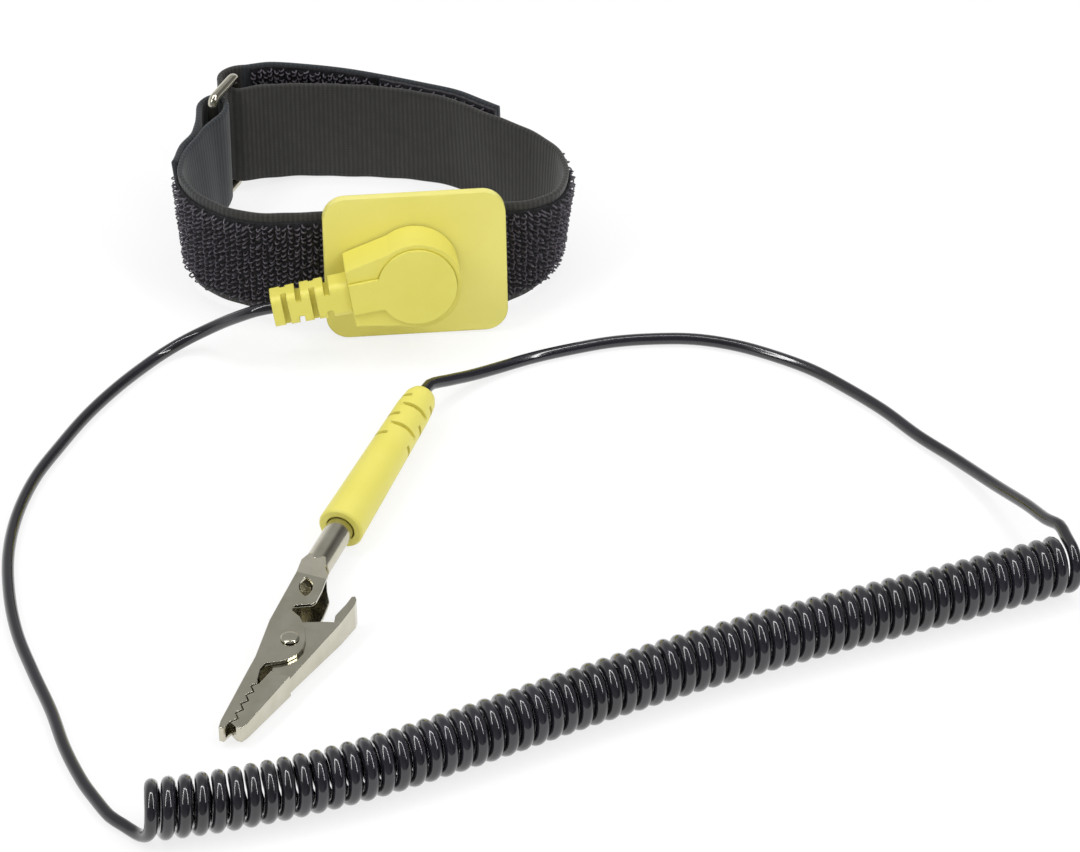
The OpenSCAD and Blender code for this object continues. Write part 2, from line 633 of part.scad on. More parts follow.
module strap_lead() color("#26252a") tube(lead_way(cord_exit, -tail_x, strap_route, coil_start, coil_in), 8);
module coil() color("#2a2930") {
    n = len(coil_way);
    points = [
        for (i = [0 : n - 1])
            let (
                straight = i < 2 ? coil_in : i > n - 3 ? coil_out : coil_way[i + 1] - coil_way[i - 1],
                t = unit(straight),
                right = unit(cross(t, axis_way(coil_s(max(0, min(coil_turns, (i - 1) / rings_per_turn)))))),
                up = cross(right, t)
            )
            for (j = [0 : 5]) coil_way[i] + cord_r * (right * cos(60 * j) + up * sin(60 * j))
    ];
    polyhedron(points, tube_faces(n, 6), convexity = 20);
}
module clip_lead() color("#26252a") tube(lead_way(coil_end, coil_out, clip_route, boot_tail, plug_way), 8);

// ---- Plug and its boot ----

boot_r = boot_d / 2;
boot_end_r = boot_end_d / 2;
boot_lip = 0.35;
boot_tip_r = 1.9;
boot_slot_start = 4;
boot_slot_pitch = 2.9;
function boot_r_at(d) = boot_r + (boot_end_r - boot_r) * d / (boot_l - 5);
pocket_l = collar_l + fit;
module boot() color("#e3d86d") on_plug() difference() {
    rotate([0, -90, 0]) rotate_extrude() polygon([
        [barrel_d / 2 + 3 * fit, 0], [boot_r - boot_lip, 0], [boot_r, boot_lip], [boot_r_at(9), 9],
        [boot_r_at(20), 20], [boot_end_r, boot_l - 5], [boot_end_r - 0.35, boot_l - 1.6],
        [boot_end_r - 0.8, boot_l - 0.5], [boot_tip_r, boot_l], [0, boot_l], [0, boot_bore + pocket_l],
        [collar_d / 2 + fit, boot_bore + pocket_l], [collar_d / 2 + fit, boot_bore],
        [barrel_d / 2 + 3 * fit, boot_bore]
    ]);
    for (k = [0 : 4]) {
        d = boot_l - boot_slot_start - k * boot_slot_pitch;
        r = boot_r_at(d) - boot_slot_depth;
        for (s = [0, 1])
            rotate([180 * s - boot_slot_turn + (k % 2 == 1 ? 0 : 90), 0, 0])
                translate([-d - boot_slot_w / 2, -far / 2, r]) cube([boot_slot_w, far, far]);
    }
}

pin_r = pin_d / 2;
pin_tip = 1.1;
spring_back = -boot_bore + 2.6;
spring_front = pin_out - pin_tip - fit;
module plug_body() color("#d2c9a0") on_plug() {
    translate([-boot_bore - collar_l, 0, 0]) rotate([0, 90, 0]) cylinder(h = collar_l, d = collar_d);
    rotate([0, 90, 0]) rotate_extrude() polygon([
        [0, -boot_bore - 1], [plug_d / 2 - 0.15, -boot_bore - 1], [plug_d / 2 - 0.15, spring_back - fit],
        [pin_r, spring_back - fit], [pin_r, pin_out - pin_tip], [plug_d / 2 - 0.15, pin_out - pin_tip],
        [pin_r - 0.4, pin_out], [0, pin_out]
    ]);
}

leaf_count = 6;
module plug_spring() color("#d8cfa6") on_plug() difference() {
    mid = (spring_back + spring_front) / 2;
    rotate([0, 90, 0]) rotate_extrude() polygon([
        [pin_r + snap_fit, spring_back], [plug_d / 2 - 0.2, spring_back], [plug_d / 2, mid - 3],
        [plug_d / 2, mid + 3], [plug_d / 2 - 0.2, spring_front], [pin_r + snap_fit, spring_front]
    ]);
    for (k = [0 : leaf_count - 1]) rotate([360 * k / leaf_count, 0, 0])
        translate([spring_back + 2.5, -0.25, 0]) cube([spring_front - spring_back - 5, 0.5, far]);
}

// ---- Crocodile clip, drawn from above: x towards the tip, y to the left of the way, z up ----

neck_x = 16.6;
tip_x = 54.9;
hinge_at = [31.8, 4];
barrel_r = barrel_d / 2;
barrel_front = 11;
barrel_back = 0.4 - boot_bore;
function half_at(x) = clip_half_back + (clip_half_front - clip_half_back) * (x - neck_x) / (tip_x - neck_x);
neck_start = barrel_front - 1;
neck_half = barrel_r - 0.2;
neck_side = barrel_r * 0.6;
// Everything between the two leaning side faces, in from the outside
module sides(in) rotate([90, 0, 0]) translate([0, 0, -far / 2]) linear_extrude(far) polygon([
    [neck_start, neck_half - in], [neck_x, clip_half_back - in], [far * 2, half_at(far * 2) - in],
    [far * 2, -half_at(far * 2) + in], [neck_x, -clip_half_back + in], [neck_start, -neck_half + in]
]);
module slab(points) translate([0, 0, -far / 2]) linear_extrude(far) polygon(points);
function shifted(points, by) = [for (p = points) [p.x, p.y + by]];

tooth_x = 44.3;
tooth_y = 2.1;
tooth_count = 4;
bite = concat(
    [for (k = [0 : tooth_count - 1]) each [
        [tooth_x + k * tooth_pitch, tooth_y], [tooth_x + (k + 0.5) * tooth_pitch, tooth_y + tooth_h]
    ]],
    [[tooth_x + tooth_count * tooth_pitch, tooth_y]]
);
fixed_spine = [
    [neck_start, -neck_side], [12.5, -1.9], [16.6, -1.1], [28.9, -0.9], [37.6, 0.2], [42.4, 0.3],
    [53.3, 0.6], [tip_x, 0.9]
];
fixed_edge = concat(
    [[tip_x, 1.7]], reversed(bite), [[43.4, 2.8], [40.2, 2.1], [38.6, 2.4], [37.4, 4.6], [36.6, 5.6],
    [35.1, 6.6], [33.2, 7], [31.2, 6.6], [28.6, 5.4], [26.5, 3.6], [25.4, 1.6], [24.3, 1.6], [23, 4.4],
    [22.2, 4.8], [19.3, 4.7], [15.4, 4.2], [12.5, 2.4], [neck_start, neck_side]]
);
eye_at = [19.4, 1.8];
eye_l = 4.8;
eye_w = 2.4;
module eye() {
    r = (eye_l ^ 2 + eye_w ^ 2) / (4 * eye_w);
    translate([eye_at.x, eye_at.y, 0]) rotate([0, 0, 22]) linear_extrude(far) intersection() {
        translate([0, r - eye_w / 2]) circle(r);
        translate([0, eye_w / 2 - r]) circle(r);
    }
}
module hinge_hole(clear) translate([hinge_at.x, hinge_at.y, -far / 2])
    cylinder(h = far, d = hinge_d + 2 * clear);

// Where the fixed jaw's trough begins, in front of the barrel
trough_x = 13.6;
module clip_jaw_fixed() color("#cdd0d2") on_plug() difference() {
    union() {
        translate([barrel_back, 0, 0]) rotate([0, 90, 0])
            cylinder(h = barrel_front - barrel_back, r = barrel_r);
        intersection() {
            slab(concat(fixed_spine, fixed_edge));
            sides(0);
        }
    }
    translate([-far, 0, 0]) rotate([0, 90, 0]) cylinder(h = far + barrel_front, d = barrel_bore);
    intersection() {
        slab(concat(
            shifted([for (p = fixed_spine) if (p.x > trough_x) [min(p.x, tip_x - sheet), p.y]], sheet),
            [[tip_x - sheet, far], [trough_x, far], [trough_x, 0]]
        ));
        sides(sheet);
    }
    eye();
    hinge_hole(snap_fit);
}

module clip_rivet() color("#e2e4e5") on_plug() translate([hinge_at.x, hinge_at.y, 0]) {
    low = half_at(hinge_at.x) + 0.14;
    head_r = hinge_head_d / 2;
    // Half of the turned outline, from the shank's middle out to the top of a domed head
    head = [
        [hinge_d / 2, low], [head_r, low], [head_r, low + hinge_head_t * 0.3],
        [head_r * 0.84, low + hinge_head_t * 0.75], [head_r * 0.5, low + hinge_head_t], [0, low + hinge_head_t]
    ];
    rotate_extrude() polygon(concat(reversed([for (p = head) [p.x, -p.y]]), head));
}

lever_spine = [[tip_x - 1, 4.5], [52.6, 5], [37.4, 7.9], [25.2, 10.4], [20.2, 11], [18.9, 10.8], [18.3, 10.3]];
lever_edge = [
    [18.6, 9.8], [20.5, 9.6], [23.7, 8.9], [25.2, 9.3], [25.7, 7.5], [26.9, 4.2], [28.6, 2.6], [31.8, 1.6], [34.4, 1.9],
    [36.6, 3], [38.4, 3.6]
];
lever_bite = concat([[40, 4], [43.4, 3.3]], shifted(bite, bite_gap), [[tip_x - 1, 3.6]]);
// How far the lever's ears stand in from the outside of the fixed jaw
nest = sheet + nest_gap;
front_x = 40;
lever_tip = tip_x - 1;
lever_back = lever_spine[len(lever_spine) - 1].x;
// The sides of the lever: its ears are nested in the fixed jaw, its front is as wide as that jaw
module nested_sides(in, step_x) {
    wide = [[step_x, half_at(step_x) - in], [2 * far, half_at(2 * far) - in]];
    narrow = [[neck_x, half_at(neck_x) - nest - in], [step_x, half_at(step_x) - nest - in]];
    upper = concat(narrow, wide);
    rotate([90, 0, 0]) translate([0, 0, -far / 2]) linear_extrude(far)
        polygon(concat(upper, reversed([for (p = upper) [p.x, -p.y]])));
}
module clip_jaw_lever() color("#c6c9cc") on_plug() difference() {
    intersection() {
        slab(concat(lever_spine, lever_edge, lever_bite));
        nested_sides(0, front_x);
    }
    intersection() {
        slab(concat(
            shifted([for (p = lever_spine) [min(p.x, lever_tip - sheet), p.y]], -sheet),
            [[lever_back - 1, lever_spine[len(lever_spine) - 1].y - sheet], [lever_back - 1, -far]],
            [[lever_tip - sheet, -far]]
        ));
        nested_sides(sheet, front_x + sheet);
    }
    hinge_hole(snap_fit);
}

spring_r = hinge_d / 2 + 0.12 + spring_wire / 2;
spring_turns = 2.75;
spring_pitch = spring_wire + 0.05;
leg_l = 4.6;
function spring_point(t) = [
    hinge_at.x + spring_r * cos(360 * t + 60), hinge_at.y + spring_r * sin(360 * t + 60),
    spring_pitch * (t - spring_turns / 2)
];
module clip_spring() color("#9fa3a6") on_plug() {
    rings = round(spring_turns * 8);
    turning = [for (i = [0 : rings]) spring_point(i * spring_turns / rings)];
    first = unit([sin(60), -cos(60), 0]);
    final = unit([-sin(360 * spring_turns + 60), cos(360 * spring_turns + 60), 0]);
    way = concat([turning[0] + first * leg_l], turning, [turning[rings] + final * leg_l]);
    n = len(way);
    points = [
        for (i = [0 : n - 1])
            let (
                t = unit(way[min(i + 1, n - 1)] - way[max(i - 1, 0)]),
                right = unit(cross(t, [0, 0, 1])),
                up = cross(right, t)
            )
            for (j = [0 : 5]) way[i] + spring_wire / 2 * (right * cos(60 * j) + up * sin(60 * j))
    ];
    polyhedron(points, tube_faces(n, 6), convexity = 6);
}

// The frame's origin is the middle of the strap's base
frame_at = [0.216, -0.244];
module seated() translate([-frame_at.x, -frame_at.y, 0]) children();

echo(stud_at = stud_at, plate_n = plate_n, cord_exit = cord_exit, boot_tail = boot_tail, plug_way = plug_way);
echo(coil_start = coil_start, coil_end = coil_end, turn_at = turn_at, bar_a = bar_a, bar_b = bar_b);
echo(stretch = stretch, drawn_w = drawn_w, drawn_d = drawn_d);

seated() band_elastic();
seated() loop_pile();
seated() fold_stitching();
seated() ring_buckle();
seated() stud_plate();
seated() wrist_contact();
seated() snap_stud();
seated() stud_rivet();
seated() strap_tail();
seated() tail_pile();
seated() hook_pad();
seated() snap_ring();
seated() connector_body();
seated() connector_cap();
seated() snap_socket();
seated() resistor();
seated() resistor_leads();
seated() strain_relief();
seated() strap_lead();
seated() coil();
seated() clip_lead();
seated() boot();
seated() plug_body();
seated() plug_spring();
seated() clip_jaw_fixed();
seated() clip_rivet();
seated() clip_spring();
seated() clip_jaw_lever();
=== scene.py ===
"""Looks of a wrist strap with its coiled ground cord: elastic, loop pile, cord jacket and finishes."""
import math
import random

import bpy
from mathutils import Matrix, Vector


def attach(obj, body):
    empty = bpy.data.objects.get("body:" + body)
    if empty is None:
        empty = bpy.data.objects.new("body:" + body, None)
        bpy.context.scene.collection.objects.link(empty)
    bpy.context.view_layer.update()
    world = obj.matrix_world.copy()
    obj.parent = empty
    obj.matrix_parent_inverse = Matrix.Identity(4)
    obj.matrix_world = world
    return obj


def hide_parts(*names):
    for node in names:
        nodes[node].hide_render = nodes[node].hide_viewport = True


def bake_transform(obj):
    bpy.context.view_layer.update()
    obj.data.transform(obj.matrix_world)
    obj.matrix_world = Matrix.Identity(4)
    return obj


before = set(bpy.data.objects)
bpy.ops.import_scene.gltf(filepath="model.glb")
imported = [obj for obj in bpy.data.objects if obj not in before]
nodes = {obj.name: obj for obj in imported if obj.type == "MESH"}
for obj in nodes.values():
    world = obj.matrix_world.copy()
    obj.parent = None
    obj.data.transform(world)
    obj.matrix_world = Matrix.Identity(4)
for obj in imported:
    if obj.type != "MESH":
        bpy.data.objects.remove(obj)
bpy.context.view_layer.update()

# ---- Frame ----

# Sizes and places below are in millimetres. They are drawn from the same point as the solids, and the
# frame then moves to the middle of the strap's base.
STRAP_MIDDLE = Vector((0.216, -0.244, 0.0))


def metres(points):
    return [(Vector(p) - STRAP_MIDDLE) / 1000 for p in points]


# The camera looks along +Y and down, with a long lens
CAMERA_AT, CAMERA_DOWN = (31, -754.08, 549.7), 38
SENSOR_MM, LENS_PIXELS, IMAGE_PIXELS = 36, 5000, 1080
camera = bpy.data.objects.new("camera", bpy.data.cameras.new("camera"))
camera.data.sensor_width = SENSOR_MM
camera.data.lens = LENS_PIXELS / IMAGE_PIXELS * SENSOR_MM
camera.data.clip_start = 0.05
camera.location = metres([CAMERA_AT])[0]
camera.rotation_euler = (math.radians(90 - CAMERA_DOWN), 0, 0)
bpy.context.scene.collection.objects.link(camera)
bpy.context.scene.camera = camera

# ---- Smooth ways through drawn points ----


def gap(p, q):
    return (q.to_3d() - p.to_3d()).length


def slope(way, i):
    """The way's direction at way[i], per millimetre."""
    a, b = way[max(i - 1, 0)], way[min(i + 1, len(way) - 1)]
    return (b - a) / gap(a, b)


def parts(p, q, step):
    """How many steps lie between two points."""
    return max(1, round(gap(p, q) / step))


def curve(way, step):
    """A smooth curve through the points of way, with a new point about every step."""
    way = [Vector(p) for p in way]
    out = []
    for i in range(len(way) - 1):
        p, q = way[i], way[i + 1]
        a, b = slope(way, i) * gap(p, q), slope(way, i + 1) * gap(p, q)
        n = parts(p, q, step)
        for k in range(n):
            t = k / n
            out.append(
                p * (2 * t**3 - 3 * t**2 + 1) + a * (t**3 - 2 * t**2 + t)
                + q * (3 * t**2 - 2 * t**3) + b * (t**3 - t**2)
            )
    return out + [way[-1]]


def place(way, k, step):
    """The place in curve(way, step) of the point way[k]."""
    way = [Vector(p) for p in way]
    return sum(parts(way[i], way[i + 1], step) for i in range(k))


def lengths(way):
    """How far along the way each of its points is."""
    out = [0.0]
    for p, q in zip(way, way[1:]):
        out.append(out[-1] + gap(p, q))
    return out


# ---- Where the plate, the connector and the plug stand ----

PLATE_W, PLATE_H, PLATE_T = 33.2, 27.2, 2.2
LEAN, YAW = math.radians(12), math.radians(5.5)
PLATE_GAP = 0.05
PLATE_AT = Vector((8.45, -20.8, PLATE_H / 2 * math.cos(LEAN) + PLATE_T * math.sin(LEAN) + PLATE_GAP))
UPRIGHT = Matrix.Rotation(math.pi / 2 - LEAN, 4, "X")
ON_PLATE = Matrix.Translation(PLATE_AT) @ Matrix.Rotation(YAW, 4, "Z") @ UPRIGHT
STUD_X, TAIL_TURN = -0.4, math.radians(8.8)
ON_STUD = ON_PLATE @ Matrix.Translation((STUD_X, 0, 0)) @ Matrix.Rotation(TAIL_TURN, 4, "Z")
TAIL_END, RELIEF_L, RELIEF_Z = 12.2, 14.2, 6.0

CORD_D, FLOOR_GAP = 2.2, 0.07
CORD_R = CORD_D / 2
BOOT_D, BOOT_L = 8.1, 39.0
PLUG_AT = Vector((-3.5, -84.65, BOOT_D / 2 + FLOOR_GAP))
PLUG_YAW = Matrix.Rotation(math.radians(-110.5), 4, "Z")
PLUG_DIP = Matrix.Rotation(math.radians(1.5), 4, "Y")
ON_PLUG = Matrix.Translation(PLUG_AT) @ PLUG_YAW @ PLUG_DIP

# ---- Materials ----


def colour(code):
    """An sRGB hex colour as linear red, green, blue and alpha."""
    channels = [int(code[i : i + 2], 16) / 255 for i in (1, 3, 5)]
    return [c / 12.92 if c <= 0.04045 else ((c + 0.055) / 1.055) ** 2.4 for c in channels] + [1.0]


def add(tree, kind, sockets=None, **settings):
    """Adds a node. sockets gives each input a value, or the output that feeds it."""
    node = tree.nodes.new(kind)
    for name, value in settings.items():
        setattr(node, name, value)
    for name, value in (sockets or {}).items():
        if isinstance(value, bpy.types.NodeSocket):
            tree.links.new(value, node.inputs[name])
        else:
            node.inputs[name].default_value = value
    return node


def per_metre(mm):
    """The scale at which one cell of a pattern is that many millimetres."""
    return 1000 / mm


def wave_scale(mm):
    """The scale at which one wave of a wave texture is that many units of its coordinates."""
    return math.pi / 10 / mm


def new_finish(name, **sockets):
    """A material whose shader has those values, with its tree, its shader and the place in metres."""
    material = bpy.data.materials.new(name)
    material.use_nodes = True
    tree = material.node_tree
    surface = tree.nodes["Principled BSDF"]
    for key, value in sockets.items():
        surface.inputs[key.replace("_", " ")].default_value = value
    return material, tree, surface, add(tree, "ShaderNodeTexCoord").outputs["Object"]


def two_tone(tree, surface, factor, dark, light):
    """Colours the surface between two hex colours, and returns that colour."""
    mix = add(tree, "ShaderNodeMix", {0: factor, 6: colour(dark), 7: colour(light)}, data_type="RGBA")
    tree.links.new(mix.outputs[2], surface.inputs["Base Color"])
    return mix.outputs[2]


def relief(tree, surface, height, depth_mm, edge_mm=0.0):
    """Bump of a height from 0 to 1, and the small radius that moulding or pressing leaves on an edge."""
    bump = add(tree, "ShaderNodeBump", {"Height": height, "Distance": depth_mm / 1000, "Strength": 1.0})
    if edge_mm:
        edge = add(tree, "ShaderNodeBevel", {"Radius": edge_mm / 1000}, samples=6)
        tree.links.new(edge.outputs[0], bump.inputs["Normal"])
    tree.links.new(bump.outputs[0], surface.inputs["Normal"])


def polyurethane_jacket():
    """Extruded polyurethane: nearly black with a faint violet cast in places, under a glassy skin."""
    material, tree, surface, at = new_finish(
        "polyurethane_jacket", Roughness=0.15, Coat_Weight=0.8, Coat_Roughness=0.06
    )
    cast = add(tree, "ShaderNodeTexNoise", {"Vector": at, "Scale": per_metre(14), "Detail": 2.0})
    two_tone(tree, surface, cast.outputs["Fac"], "#0f1013", "#24222b")
    draw = add(tree, "ShaderNodeTexNoise", {"Vector": at, "Scale": per_metre(0.9), "Detail": 3.0})
    relief(tree, surface, draw.outputs["Fac"], 0.004)
    return material


def moulded_vinyl():
    """Soft moulded PVC: satin, with a mould's fine grain and softened edges."""
    material, tree, surface, at = new_finish("moulded_vinyl", Roughness=0.42)
    clouds = add(tree, "ShaderNodeTexNoise", {"Vector": at, "Scale": per_metre(9), "Detail": 4.0})
    two_tone(tree, surface, clouds.outputs["Fac"], "#ddd458", "#e9e075")
    grain = add(tree, "ShaderNodeTexNoise", {"Vector": at, "Scale": per_metre(0.35), "Detail": 3.0})
    relief(tree, surface, grain.outputs["Fac"], 0.02, 0.35)
    return material


def moulded_abs():
    """Moulded ABS: harder and a little paler and glossier than the vinyl, with the same fine grain."""
    material, tree, surface, at = new_finish("moulded_abs", Roughness=0.36)
    clouds = add(tree, "ShaderNodeTexNoise", {"Vector": at, "Scale": per_metre(16), "Detail": 4.0})
    two_tone(tree, surface, clouds.outputs["Fac"], "#e6dd68", "#efe786")
    grain = add(tree, "ShaderNodeTexNoise", {"Vector": at, "Scale": per_metre(0.4), "Detail": 3.0})
    relief(tree, surface, grain.outputs["Fac"], 0.018, 0.45)
    return material


def knitted_elastic(name, warm_from_mm):
    """Knitted elastic of rubber and polyester: matt charcoal, with ribs 0.9 mm apart across the band and
    faint wales 0.55 mm apart along it. Both are drawn a little coarse, so that they show. At the ring's end
    of the strip the colour is tinted bluish as painted light, which fades into the elastic's own brownish
    charcoal round warm_from_mm."""
    material, tree, surface, at = new_finish(name, Roughness=0.86, Sheen_Weight=0.25, Sheen_Roughness=0.5)
    cloth = add(tree, "ShaderNodeUVMap", uv_map="cloth").outputs["UV"]
    ribs, wales = [
        add(
            tree, "ShaderNodeTexWave", bands_direction=direction,
            sockets={"Vector": cloth, "Scale": wave_scale(mm), "Distortion": distortion, "Detail": 1.0},
        ).outputs["Fac"]
        for direction, mm, distortion in (("X", 0.9, 0.6), ("Y", 0.55, 0.8))
    ]
    faint = add(tree, "ShaderNodeMapRange", {"Value": wales, "To Min": 0.65, "To Max": 1.0})
    knit = add(tree, "ShaderNodeMath", {0: ribs, 1: faint.outputs[0]}, operation="MULTIPLY")
    fuzz = add(tree, "ShaderNodeTexNoise", {"Vector": at, "Scale": per_metre(2.4), "Detail": 5.0})
    shade = add(tree, "ShaderNodeMath", {0: knit.outputs[0], 1: fuzz.outputs["Fac"]}, operation="MULTIPLY")
    along = add(tree, "ShaderNodeSeparateXYZ", {"Vector": cloth}).outputs["X"]
    fade_mm = 12
    warm = add(
        tree, "ShaderNodeMapRange",
        {"Value": along, "From Min": warm_from_mm - fade_mm, "From Max": warm_from_mm + fade_mm},
    )
    # The bluish tone is painted light; the brownish tone is the elastic's own colour
    bluish = two_tone(tree, surface, shade.outputs[0], "#212529", "#393f45")
    brownish = two_tone(tree, surface, shade.outputs[0], "#272624", "#474541")
    tone_and_painted_light = add(tree, "ShaderNodeMix", {0: warm.outputs[0], 6: bluish, 7: brownish}, data_type="RGBA")
    tree.links.new(tone_and_painted_light.outputs[2], surface.inputs["Base Color"])
    relief(tree, surface, knit.outputs[0], 0.05)
    return material


def loop_nylon():
    """Nylon yarn in loops: dark violet grey that gleams on top of each loop."""
    material, tree, surface, at = new_finish("loop_nylon", Roughness=0.34, Sheen_Weight=0.15)
    tufts = add(tree, "ShaderNodeTexNoise", {"Vector": at, "Scale": per_metre(1.3), "Detail": 3.0})
    two_tone(tree, surface, tufts.outputs["Fac"], "#262229", "#69626e")
    twist = add(tree, "ShaderNodeTexNoise", {"Vector": at, "Scale": per_metre(0.4), "Detail": 2.0})
    relief(tree, surface, twist.outputs["Fac"], 0.05)
    return material


def loop_ground():
    """The knitted ground under the loops: black and quite matt, and drawn darker than the yarn as painted
    shade between the loops.
    """
    material, tree, surface, at = new_finish("loop_ground", Roughness=0.9)
    cells = add(tree, "ShaderNodeTexVoronoi", {"Vector": at, "Scale": per_metre(1.1)})
    # Painted shade: the ground's dark colour stands for the shade in the gaps between the loops
    two_tone(tree, surface, cells.outputs["Distance"], "#222025", "#0f0e11")
    relief(tree, surface, cells.outputs["Distance"], 0.25)
    return material


def hook_nylon():
    """Woven nylon hook tape: dark, with rows of hooks 1.2 mm apart."""
    material, tree, surface, at = new_finish("hook_nylon", Roughness=0.55)
    hooks = add(tree, "ShaderNodeTexVoronoi", {"Vector": at, "Scale": per_metre(1.2), "Randomness": 0.2})
    two_tone(tree, surface, hooks.outputs["Distance"], "#121114", "#3c3940")
    relief(tree, surface, hooks.outputs["Distance"], 0.3)
    return material


def polyester_thread():
    """Twisted polyester thread: nearly black, with uneven marks of about 0.5 mm for its twist."""
    material, tree, surface, at = new_finish("polyester_thread", Roughness=0.6)
    twist = add(tree, "ShaderNodeTexNoise", {"Vector": at, "Scale": per_metre(0.5), "Detail": 2.0})
    two_tone(tree, surface, twist.outputs["Fac"], "#18171a", "#38363b")
    relief(tree, surface, twist.outputs["Fac"], 0.06)
    return material


def metal(name, dark, light, roughness, grain_mm, depth_mm, edge_mm):
    """A metal whose roughness wanders a little with handling marks, and its grain."""
    material, tree, surface, at = new_finish(name, Metallic=1.0)
    marks = add(tree, "ShaderNodeTexNoise", {"Vector": at, "Scale": per_metre(3.5), "Detail": 6.0})
    two_tone(tree, surface, marks.outputs["Fac"], dark, light)
    polish = add(
        tree, "ShaderNodeMapRange",
        {"Value": marks.outputs["Fac"], "To Min": roughness * 0.7, "To Max": roughness * 1.4},
    )
    tree.links.new(polish.outputs[0], surface.inputs["Roughness"])
    grain = add(tree, "ShaderNodeTexNoise", {"Vector": at, "Scale": per_metre(grain_mm), "Detail": 4.0})
    relief(tree, surface, grain.outputs["Fac"], depth_mm, edge_mm)
    return material


def brushed_stainless():
    """Stainless steel, brushed along the plate: fine lines 0.3 mm apart, drawn coarse to show."""
    material, tree, surface, at = new_finish("brushed_stainless", Metallic=1.0, Roughness=0.3)
    along = add(
        tree, "ShaderNodeMapping", {"Vector": at, "Rotation": (0.0, 0.0, -YAW), "Scale": (0.03, 1.0, 1.0)}
    )
    lines = add(
        tree, "ShaderNodeTexNoise", {"Vector": along.outputs[0], "Scale": per_metre(0.3), "Detail": 3.0}
    )
    two_tone(tree, surface, lines.outputs["Fac"], "#b4b6b8", "#d2d4d6")
    relief(tree, surface, lines.outputs["Fac"], 0.02, 0.15)
    return material


def resistor_lacquer():
    """Dipped lacquer on a carbon film resistor: glossy pale blue, slightly uneven."""
    material, tree, surface, at = new_finish("resistor_lacquer", Roughness=0.2)
    dip = add(tree, "ShaderNodeTexNoise", {"Vector": at, "Scale": per_metre(2), "Detail": 2.0})
    two_tone(tree, surface, dip.outputs["Fac"], "#6f9bb0", "#8db5c6")
    relief(tree, surface, dip.outputs["Fac"], 0.05)
    return material


JACKET = polyurethane_jacket()
VINYL = moulded_vinyl()
ABS = moulded_abs()
ELASTIC = knitted_elastic("knitted_elastic", 55)
TAIL_ELASTIC = knitted_elastic("knitted_elastic_of_the_tail", 70)
PILE = loop_nylon()
GROUND = loop_ground()
HOOKS = hook_nylon()
THREAD = polyester_thread()
STAINLESS = brushed_stainless()
LACQUER = resistor_lacquer()
# Bright nickel on steel sheet and wire: warm white, nearly a mirror, with a faint orange-peel
NICKEL = metal("nickel_plate", "#b9b5a2", "#d6d2c3", 0.16, 0.8, 0.006, 0.2)
# Nickel on turned brass: a little warmer
NICKEL_BRASS = metal("nickel_on_brass", "#b1a685", "#d0c6a8", 0.2, 0.4, 0.006, 0.12)
BRASS = metal("turned_brass", "#b9985a", "#d3b878", 0.28, 0.4, 0.008, 0.1)
SPRING_STEEL = metal("drawn_spring_steel", "#8d9093", "#b0b3b6", 0.3, 0.3, 0.006, 0.05)
TINNED = metal("tinned_copper", "#a9a79f", "#c9c6bd", 0.34, 0.4, 0.01, 0.05)

for node, finish in {
    "ring_buckle": NICKEL, "stud_plate": ABS, "wrist_contact": STAINLESS, "snap_stud": NICKEL_BRASS,
    "stud_rivet": STAINLESS, "snap_ring": SPRING_STEEL, "connector_body": VINYL, "connector_cap": VINYL,
    "snap_socket": BRASS, "resistor": LACQUER, "resistor_leads": TINNED, "strain_relief": VINYL,
    "boot": VINYL, "plug_body": NICKEL_BRASS, "plug_spring": NICKEL_BRASS, "clip_jaw_fixed": NICKEL,
    "clip_rivet": NICKEL, "clip_spring": SPRING_STEEL, "clip_jaw_lever": NICKEL,
}.items():
    for slot in nodes[node].material_slots:
        slot.material = finish
    if not nodes[node].material_slots:
        nodes[node].data.materials.append(finish)

# ---- Meshes ----


def new_piece(name, points, faces, finish, body=None, cloth=None):
    """A piece from points in millimetres. cloth gives each point its place on the flat cloth."""
    mesh = bpy.data.meshes.new(name)
    mesh.from_pydata(metres(points), [], faces)
    mesh.materials.append(finish)
    for face in mesh.polygons:
        face.use_smooth = True
    if cloth:
        layer = mesh.uv_layers.new(name="cloth")
        for loop in mesh.loops:
            layer.data[loop.index].uv = cloth[loop.vertex_index]
    piece = bpy.data.objects.new(name, mesh)
    bpy.context.scene.collection.objects.link(piece)
    if body:
        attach(piece, body)
    return piece


def skin(rings, n):
    """Faces of a tube of that many rings of n points, with its flat ends."""
    faces = [
        (i * n + j, i * n + (j + 1) % n, (i + 1) * n + (j + 1) % n, (i + 1) * n + j)
        for i in range(rings - 1) for j in range(n)
    ]
    return faces + [tuple(reversed(range(n))), tuple(range((rings - 1) * n, rings * n))]


def tube(way, radius, sides):
    """Points of a round tube along way, carried along it without a twist. radius(i) is its radius there."""
    points = []
    across = None
    for i, p in enumerate(way):
        t = (way[min(i + 1, len(way) - 1)] - way[max(i - 1, 0)]).normalized()
        if across is None:
            across = t.cross(Vector((0, 0, 1)))
        across = (across - t * across.dot(t)).normalized()
        up = across.cross(t)
        for j in range(sides):
            a = 2 * math.pi * j / sides
            points.append(p + radius(i) * (across * math.cos(a) + up * math.sin(a)))
    return points


# ---- Cord ----

